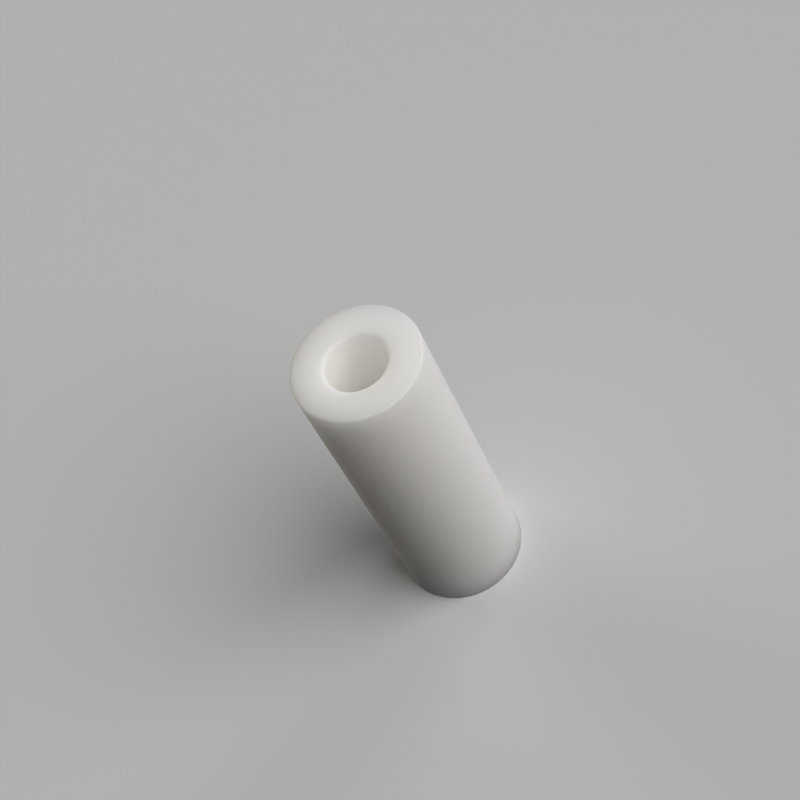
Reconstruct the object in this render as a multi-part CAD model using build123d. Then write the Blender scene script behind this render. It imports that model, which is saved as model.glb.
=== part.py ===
from build123d import *
import os

# Driving dimensions of the fired tube, in millimetres
outside_diameter = 22.0
bore_diameter = 10.5
length = 60.0
outer_edge_radius = 0.3
bore_edge_radius = 0.75

# An edge takes no more than this share of the wall, so that a flat ring is left to stand on
largest_edge_share = 0.4


def wall_thickness():
    """Thickness of the wall between the bore and the outside."""
    return (outside_diameter - bore_diameter) / 2


def rounded_end_edges(body, diameter, radius):
    """Round the two end edges of one diameter of the body, top and base alike."""
    edges = body.edges().filter_by(GeomType.CIRCLE).filter_by(
        lambda edge: abs(edge.radius - diameter / 2) < radius / 10
    )
    return fillet(edges, min(radius, largest_edge_share * wall_thickness()))


def ceramic_tube():
    """A thick-walled straight tube that stands on its end, with its axis on Z and its base at Z = 0."""
    wall = Circle(outside_diameter / 2) - Circle(bore_diameter / 2)
    body = extrude(wall, amount=length)
    body = rounded_end_edges(body, outside_diameter, outer_edge_radius)
    body = rounded_end_edges(body, bore_diameter, bore_edge_radius)
    return body


def main():
    """Write the one solid as its own part file."""
    os.makedirs("parts", exist_ok=True)
    export_step(ceramic_tube(), "parts/ceramic_tube.step")


if __name__ == "__main__":
    main()
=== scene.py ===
import math

import bmesh
import bpy
from bpy.props import FloatProperty, FloatVectorProperty, IntProperty, PointerProperty
from mathutils import Matrix, Vector


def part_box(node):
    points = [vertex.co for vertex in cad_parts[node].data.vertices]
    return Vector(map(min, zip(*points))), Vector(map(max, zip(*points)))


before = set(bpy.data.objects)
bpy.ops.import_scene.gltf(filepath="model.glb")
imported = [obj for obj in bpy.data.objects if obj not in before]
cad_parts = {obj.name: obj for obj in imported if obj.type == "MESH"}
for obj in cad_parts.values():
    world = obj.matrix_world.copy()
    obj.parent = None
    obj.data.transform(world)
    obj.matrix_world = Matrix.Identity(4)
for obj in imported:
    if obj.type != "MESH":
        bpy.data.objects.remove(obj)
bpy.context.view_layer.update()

bl_info = {
    "name": "Ceramic Tube",
    "version": (1, 0, 0),
    "blender": (4, 5, 0),
    "location": "3D View > Sidebar > Ceramic Tube",
    "description": "Gives the tube its fired ceramic surface and sets it in a plain studio",
    "category": "Object",
}

TUBE = "ceramic_tube"

# Sides that the two low lamps stand on, both behind the tube, turning from the front to the right
RIGHT_AZIMUTH = math.radians(120)
LEFT_AZIMUTH = math.radians(205)

# The floor's colour for the soft light that it would throw back on the tube
DARK = (0.02, 0.02, 0.02, 1.0)
FLOOR_SIDES = 96

# Millimetres, as on the lens
SENSOR_WIDTH = 36

# Values of the grain noise where the surface is smoothest and where it is roughest
GRAIN_LOW = 0.3
GRAIN_HIGH = 0.7

CERAMIC_IOR = 1.5


class CeramicFinish(bpy.types.PropertyGroup):
    """The look of the white fired ceramic."""

    body_color: FloatVectorProperty(
        name="Body", description="Colour of the fired body",
        subtype="COLOR", size=3, min=0, max=1, default=(0.981, 0.9735, 0.958),
    )
    cloud_color: FloatVectorProperty(
        name="Clouds", description="Colour that the body drifts to in faint clouds",
        subtype="COLOR", size=3, min=0, max=1, default=(0.973, 0.9645, 0.946),
    )
    cloud_size: FloatProperty(
        name="Cloud Size", description="Distance from one faint cloud to the next",
        subtype="DISTANCE", unit="LENGTH", default=0.009, min=0.001,
    )
    grain_size: FloatProperty(
        name="Grain Size", description="Distance from one grain of the fired surface to the next",
        subtype="DISTANCE", unit="LENGTH", default=0.00018, min=0.00002, precision=5,
    )
    grain_depth: FloatProperty(
        name="Grain Depth", description="Height of the grain above the hollows between",
        subtype="DISTANCE", unit="LENGTH", default=0.000003, min=0.0, precision=6,
    )
    roughness_low: FloatProperty(
        name="Smoothest", description="Roughness where the surface is smoothest",
        subtype="FACTOR", default=0.46, min=0, max=1,
    )
    roughness_high: FloatProperty(
        name="Roughest", description="Roughness where the surface is roughest",
        subtype="FACTOR", default=0.58, min=0, max=1,
    )
    shine: FloatProperty(
        name="Shine", description="Strength of the reflection, where 0.5 is that of a polished surface",
        subtype="FACTOR", default=0.3, min=0, max=1,
    )
    glow_share: FloatProperty(
        name="Glow Share", description="Share of the light that goes below the surface",
        subtype="FACTOR", default=0.82, min=0, max=1,
    )
    glow_depth: FloatProperty(
        name="Glow Depth", description="How far that light travels in the ceramic",
        subtype="DISTANCE", unit="LENGTH", default=0.021, min=0.0, precision=4,
    )
    glow_reach: FloatVectorProperty(
        name="Glow Reach", description="How far red, green and blue light travel, as shares of the depth",
        size=3, min=0, max=1, default=(1.0, 0.95, 0.88),
    )


class Studio(bpy.types.PropertyGroup):
    """The floor, the lamps and the camera."""

    floor_tone: FloatVectorProperty(
        name="Floor", description="Colour that the lit floor and the backdrop have in the picture",
        subtype="COLOR", size=3, min=0, max=1, default=(0.435, 0.435, 0.43),
    )
    floor_glow: FloatProperty(
        name="Floor Glow", description="Width of the ring of floor round the base that lights the tube",
        subtype="DISTANCE", unit="LENGTH", default=0.003, min=0.0, precision=4,
    )
    floor_radius: FloatProperty(
        name="Floor Radius", description="Radius of the round floor",
        subtype="DISTANCE", unit="LENGTH", default=3.0, min=0.5,
    )
    key_azimuth: FloatProperty(
        name="Key Azimuth", description="Side of the key light, turning from the front to the right",
        subtype="ANGLE", unit="ROTATION", default=math.radians(50),
    )
    key_elevation: FloatProperty(
        name="Key Elevation", description="Height of the key light above the floor's plane",
        subtype="ANGLE", unit="ROTATION", default=math.radians(47),
    )
    key_softness: FloatProperty(
        name="Key Softness", description="Angle across the key light as the tube sees it",
        subtype="ANGLE", unit="ROTATION", default=math.radians(55),
    )
    key_strength: FloatProperty(
        name="Key Strength", description="Light that the key gives a surface that faces it",
        default=2.65, min=0,
    )
    key_color: FloatVectorProperty(
        name="Key Colour", description="Tint of the key light",
        subtype="COLOR", size=3, min=0, max=1, default=(1.0, 0.97, 0.93),
    )
    low_elevation: FloatProperty(
        name="Low Elevation", description="Height of the two low lamps above the floor's plane",
        subtype="ANGLE", unit="ROTATION", default=math.radians(15),
    )
    low_softness: FloatProperty(
        name="Low Softness", description="Angle across each low lamp as the tube sees it",
        subtype="ANGLE", unit="ROTATION", default=math.radians(35),
    )
    right_strength: FloatProperty(
        name="Right Strength", description="Light that the right low lamp gives a surface that faces it",
        default=0.87, min=0,
    )
    right_color: FloatVectorProperty(
        name="Right Colour", description="Tint of the right low lamp",
        subtype="COLOR", size=3, min=0, max=1, default=(0.87, 0.93, 1.0),
    )
    left_strength: FloatProperty(
        name="Left Strength", description="Light that the left low lamp gives a surface that faces it",
        default=0.88, min=0,
    )
    left_color: FloatVectorProperty(
        name="Left Colour", description="Tint of the left low lamp",
        subtype="COLOR", size=3, min=0, max=1, default=(1.0, 0.93, 0.82),
    )
    light_bounces: IntProperty(
        name="Light Bounces", description="How often light bounces on, as from wall to wall in the bore",
        default=32, min=1,
    )
    camera_place: FloatVectorProperty(
        name="Camera", description="Place of the camera, in front of the tube and above it",
        subtype="TRANSLATION", unit="LENGTH", size=3, precision=5, default=(0.0, -0.17336, 0.26782),
    )
    camera_aim: FloatVectorProperty(
        name="Aim", description="Point at the middle of the picture",
        subtype="TRANSLATION", unit="LENGTH", size=3, precision=5, default=(0.00306, 0.0, 0.04606),
    )
    camera_roll: FloatProperty(
        name="Roll", description="Turn of the camera about its line of sight",
        subtype="ANGLE", unit="ROTATION", default=math.radians(-29.83),
    )
    camera_lens: FloatProperty(
        name="Lens", description="Focal length on a sensor 36 mm wide, in millimetres",
        default=78.63, min=1,
    )


def add_node(tree, kind, name, place, **inputs):
    """A new node of that kind, with its label, its place on the sheet and its socket values."""
    node = tree.nodes.new(kind)
    node.name = node.label = name
    node.location = place
    for socket, value in inputs.items():
        node.inputs[socket].default_value = value
    return node


def fired_surface():
    """The node group of a fired surface: faint clouds of tone, and a fine grain."""
    group = bpy.data.node_groups.new("Fired Surface", "ShaderNodeTree")
    for name, kind in (
        ("Body", "NodeSocketColor"),
        ("Clouds", "NodeSocketColor"),
        ("Cloud Size", "NodeSocketFloat"),
        ("Grain Size", "NodeSocketFloat"),
        ("Smoothest", "NodeSocketFloat"),
        ("Roughest", "NodeSocketFloat"),
    ):
        group.interface.new_socket(name, in_out="INPUT", socket_type=kind)
    for name, kind in (
        ("Color", "NodeSocketColor"),
        ("Roughness", "NodeSocketFloat"),
        ("Grain", "NodeSocketFloat"),
    ):
        group.interface.new_socket(name, in_out="OUTPUT", socket_type=kind)
    link = group.links.new
    given = add_node(group, "NodeGroupInput", "Given", (-900, 0))
    place = add_node(group, "ShaderNodeTexCoord", "Place", (-900, 300))

    per_cloud = add_node(group, "ShaderNodeMath", "Clouds per Metre", (-700, 100))
    per_cloud.operation = "DIVIDE"
    per_cloud.inputs[0].default_value = 1.0
    link(given.outputs["Cloud Size"], per_cloud.inputs[1])
    clouds = add_node(group, "ShaderNodeTexNoise", "Cloud Noise", (-500, 200), Detail=3.0, Roughness=0.55)
    link(place.outputs["Object"], clouds.inputs["Vector"])
    link(per_cloud.outputs["Value"], clouds.inputs["Scale"])

    per_grain = add_node(group, "ShaderNodeMath", "Grains per Metre", (-700, -200))
    per_grain.operation = "DIVIDE"
    per_grain.inputs[0].default_value = 1.0
    link(given.outputs["Grain Size"], per_grain.inputs[1])
    grain = add_node(group, "ShaderNodeTexNoise", "Grain Noise", (-500, -150), Detail=2.0, Roughness=0.6)
    link(place.outputs["Object"], grain.inputs["Vector"])
    link(per_grain.outputs["Value"], grain.inputs["Scale"])

    tone = add_node(group, "ShaderNodeMix", "Tone", (-200, 250))
    tone.data_type = "RGBA"
    link(clouds.outputs["Fac"], tone.inputs["Factor"])
    link(given.outputs["Body"], tone.inputs["A"])
    link(given.outputs["Clouds"], tone.inputs["B"])

    gloss = add_node(group, "ShaderNodeMapRange", "Gloss", (-200, 0))
    gloss.inputs["From Min"].default_value = GRAIN_LOW
    gloss.inputs["From Max"].default_value = GRAIN_HIGH
    link(grain.outputs["Fac"], gloss.inputs["Value"])
    link(given.outputs["Smoothest"], gloss.inputs["To Min"])
    link(given.outputs["Roughest"], gloss.inputs["To Max"])

    result = add_node(group, "NodeGroupOutput", "Result", (100, 0))
    link(tone.outputs["Result"], result.inputs["Color"])
    link(gloss.outputs["Result"], result.inputs["Roughness"])
    link(grain.outputs["Fac"], result.inputs["Grain"])
    return group


def ceramic_material(finish):
    """White fired ceramic: satin and translucent, so that light bleeds over its edges."""
    material = bpy.data.materials.new("fired_ceramic")
    material.use_nodes = True
    tree = material.node_tree
    shader = tree.nodes["Principled BSDF"]
    shader.subsurface_method = "RANDOM_WALK"
    shader.inputs["Subsurface Weight"].default_value = finish.glow_share
    shader.inputs["Subsurface Radius"].default_value = finish.glow_reach
    shader.inputs["Subsurface Scale"].default_value = finish.glow_depth
    shader.inputs["IOR"].default_value = CERAMIC_IOR
    shader.inputs["Specular IOR Level"].default_value = finish.shine

    surface = add_node(tree, "ShaderNodeGroup", "Fired Surface", (-500, 100))
    surface.node_tree = fired_surface()
    surface.inputs["Body"].default_value = (*finish.body_color, 1.0)
    surface.inputs["Clouds"].default_value = (*finish.cloud_color, 1.0)
    surface.inputs["Cloud Size"].default_value = finish.cloud_size
    surface.inputs["Grain Size"].default_value = finish.grain_size
    surface.inputs["Smoothest"].default_value = finish.roughness_low
    surface.inputs["Roughest"].default_value = finish.roughness_high

    relief = add_node(tree, "ShaderNodeBump", "Grain Relief", (-250, -200), Strength=1.0)
    relief.inputs["Distance"].default_value = finish.grain_depth
    link = tree.links.new
    link(surface.outputs["Color"], shader.inputs["Base Color"])
    link(surface.outputs["Roughness"], shader.inputs["Roughness"])
    link(surface.outputs["Grain"], relief.inputs["Height"])
    link(relief.outputs["Normal"], shader.inputs["Normal"])
    return material


def seen_directly(tree, place):
    """A mask: 1 for what is seen, also in a reflection or through glass, and 0 for soft light."""
    path = add_node(tree, "ShaderNodeLightPath", "Ray", place)
    mirrored = add_node(tree, "ShaderNodeMath", "Camera or Mirrored", (place[0] + 200, place[1]))
    mirrored.operation = "MAXIMUM"
    seen = add_node(tree, "ShaderNodeMath", "Seen Directly", (place[0] + 400, place[1]))
    seen.operation = "MAXIMUM"
    tree.links.new(path.outputs["Is Camera Ray"], mirrored.inputs[0])
    tree.links.new(path.outputs["Is Glossy Ray"], mirrored.inputs[1])
    tree.links.new(mirrored.outputs["Value"], seen.inputs[0])
    tree.links.new(path.outputs["Is Transmission Ray"], seen.inputs[1])
    return seen.outputs["Value"]


def lamps(studio):
    """Each lamp's name, azimuth, elevation, softness, strength and colour."""
    low = (studio.low_elevation, studio.low_softness)
    return (
        (
            "key", studio.key_azimuth, studio.key_elevation, studio.key_softness, studio.key_strength,
            studio.key_color,
        ),
        ("right", RIGHT_AZIMUTH, *low, studio.right_strength, studio.right_color),
        ("left", LEFT_AZIMUTH, *low, studio.left_strength, studio.left_color),
    )


def floor_color(studio):
    """The floor's own colour, which all the lamps together bring to the tone of the picture's floor."""
    color = []
    for channel, tone in enumerate(studio.floor_tone):
        light = sum(
            strength * math.sin(elevation) * tint[channel]
            for name, azimuth, elevation, softness, strength, tint in lamps(studio)
        )
        color.append(math.pi * tone / light)
    return (*color, 1.0)


def floor_material(studio):
    """A matt pale floor that throws light back on the tube only from a narrow ring round its base."""
    material = bpy.data.materials.new("pale_floor")
    material.use_nodes = True
    tree = material.node_tree
    tree.nodes.remove(tree.nodes["Principled BSDF"])
    link = tree.links.new
    place = add_node(tree, "ShaderNodeTexCoord", "Place", (-900, -200))
    reach = add_node(tree, "ShaderNodeVectorMath", "Distance from Axis", (-700, -200))
    reach.operation = "LENGTH"
    link(place.outputs["Object"], reach.inputs[0])
    low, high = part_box(TUBE)
    tube_radius = (high[0] - low[0]) / 2
    ring = add_node(tree, "ShaderNodeMapRange", "Ring round Base", (-500, -200))
    ring.inputs["From Min"].default_value = tube_radius
    ring.inputs["From Max"].default_value = tube_radius + studio.floor_glow
    ring.inputs["To Min"].default_value = 1.0
    ring.inputs["To Max"].default_value = 0.0
    link(reach.outputs["Value"], ring.inputs["Value"])
    shown = add_node(tree, "ShaderNodeMath", "Seen or in Ring", (-300, 0))
    shown.operation = "MAXIMUM"
    link(seen_directly(tree, (-900, 200)), shown.inputs[0])
    link(ring.outputs["Result"], shown.inputs[1])
    color = add_node(tree, "ShaderNodeMix", "Pale or Dark", (-100, 0))
    color.data_type = "RGBA"
    color.inputs["A"].default_value = DARK
    color.inputs["B"].default_value = floor_color(studio)
    link(shown.outputs["Value"], color.inputs["Factor"])
    matt = add_node(tree, "ShaderNodeBsdfDiffuse", "Matt", (100, 0))
    link(color.outputs["Result"], matt.inputs["Color"])
    link(matt.outputs["BSDF"], tree.nodes["Material Output"].inputs["Surface"])
    return material


def add_floor(studio):
    """The round floor that the tube stands on."""
    mesh = bpy.data.meshes.new("floor")
    shape = bmesh.new()
    bmesh.ops.create_circle(shape, cap_ends=True, segments=FLOOR_SIDES, radius=studio.floor_radius)
    shape.to_mesh(mesh)
    shape.free()
    mesh.materials.append(floor_material(studio))
    floor = bpy.data.objects.new("floor", mesh)
    bpy.context.scene.collection.objects.link(floor)


def add_world(studio):
    """A backdrop that goes on from the floor's tone and lights nothing."""
    world = bpy.data.worlds.new("studio")
    world.use_nodes = True
    tree = world.node_tree
    background = tree.nodes["Background"]
    background.inputs["Color"].default_value = (*studio.floor_tone, 1.0)
    tree.links.new(seen_directly(tree, (-600, 300)), background.inputs["Strength"])
    bpy.context.scene.world = world


def towards(azimuth, elevation):
    """The direction of a lamp: azimuth 0 is the front, on -Y, and 90 degrees the right, on +X."""
    level = math.cos(elevation)
    return Vector((math.sin(azimuth) * level, -math.cos(azimuth) * level, math.sin(elevation)))


def add_lamp(name, azimuth, elevation, softness, strength, color):
    """A large far lamp that lights the floor evenly."""
    data = bpy.data.lights.new(name, "SUN")
    data.energy = strength
    data.angle = softness
    data.color = color
    lamp = bpy.data.objects.new(name, data)
    direction = towards(azimuth, elevation)
    lamp.location = direction
    lamp.rotation_euler = direction.to_track_quat("Z", "Y").to_euler()
    bpy.context.scene.collection.objects.link(lamp)


def add_camera(studio):
    """The camera at the view of the tube from above, turned about its line of sight."""
    data = bpy.data.cameras.new("camera")
    data.sensor_width = SENSOR_WIDTH
    data.lens = studio.camera_lens
    camera = bpy.data.objects.new("camera", data)
    place = Vector(studio.camera_place)
    sight = Vector(studio.camera_aim) - place
    level = sight.to_track_quat("-Z", "Y").to_matrix().to_4x4()
    roll = Matrix.Rotation(studio.camera_roll, 4, "Z")
    camera.matrix_world = Matrix.Translation(place) @ level @ roll
    bpy.context.scene.collection.objects.link(camera)
    bpy.context.scene.camera = camera


class TUBE_OT_finish(bpy.types.Operator):
    """Give the tube its fired ceramic surface"""

    bl_idname = "tube.finish"
    bl_label = "Finish Tube"

    def execute(self, context):
        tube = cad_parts[TUBE]
        material = ceramic_material(context.scene.ceramic_finish)
        for slot in tube.material_slots:
            slot.material = material
        return {"FINISHED"}


class TUBE_OT_stage(bpy.types.Operator):
    """Set up the pale floor, the soft lamps and the camera"""

    bl_idname = "tube.stage"
    bl_label = "Set Stage"

    def execute(self, context):
        studio = context.scene.tube_studio
        add_floor(studio)
        add_world(studio)
        for lamp in lamps(studio):
            add_lamp(*lamp)
        add_camera(studio)
        context.scene.cycles.diffuse_bounces = studio.light_bounces
        context.scene.cycles.max_bounces = studio.light_bounces
        context.scene.view_settings.view_transform = "Standard"
        return {"FINISHED"}


class TUBE_PT_panel(bpy.types.Panel):
    """The tube's finish and its studio"""

    bl_idname = "TUBE_PT_panel"
    bl_label = "Ceramic Tube"
    bl_space_type = "VIEW_3D"
    bl_region_type = "UI"
    bl_category = "Ceramic Tube"

    def draw(self, context):
        for settings, operator in (
            (context.scene.ceramic_finish, TUBE_OT_finish),
            (context.scene.tube_studio, TUBE_OT_stage),
        ):
            box = self.layout.box()
            for name in settings.__annotations__:
                box.prop(settings, name)
            box.operator(operator.bl_idname)


CLASSES = (CeramicFinish, Studio, TUBE_OT_finish, TUBE_OT_stage, TUBE_PT_panel)


def register():
    for each in CLASSES:
        bpy.utils.register_class(each)
    bpy.types.Scene.ceramic_finish = PointerProperty(type=CeramicFinish)
    bpy.types.Scene.tube_studio = PointerProperty(type=Studio)


def unregister():
    del bpy.types.Scene.tube_studio
    del bpy.types.Scene.ceramic_finish
    for each in reversed(CLASSES):
        bpy.utils.unregister_class(each)


def main():
    """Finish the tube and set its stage."""
    register()
    bpy.ops.tube.finish()
    bpy.ops.tube.stage()


if __name__ == "__main__":
    main()
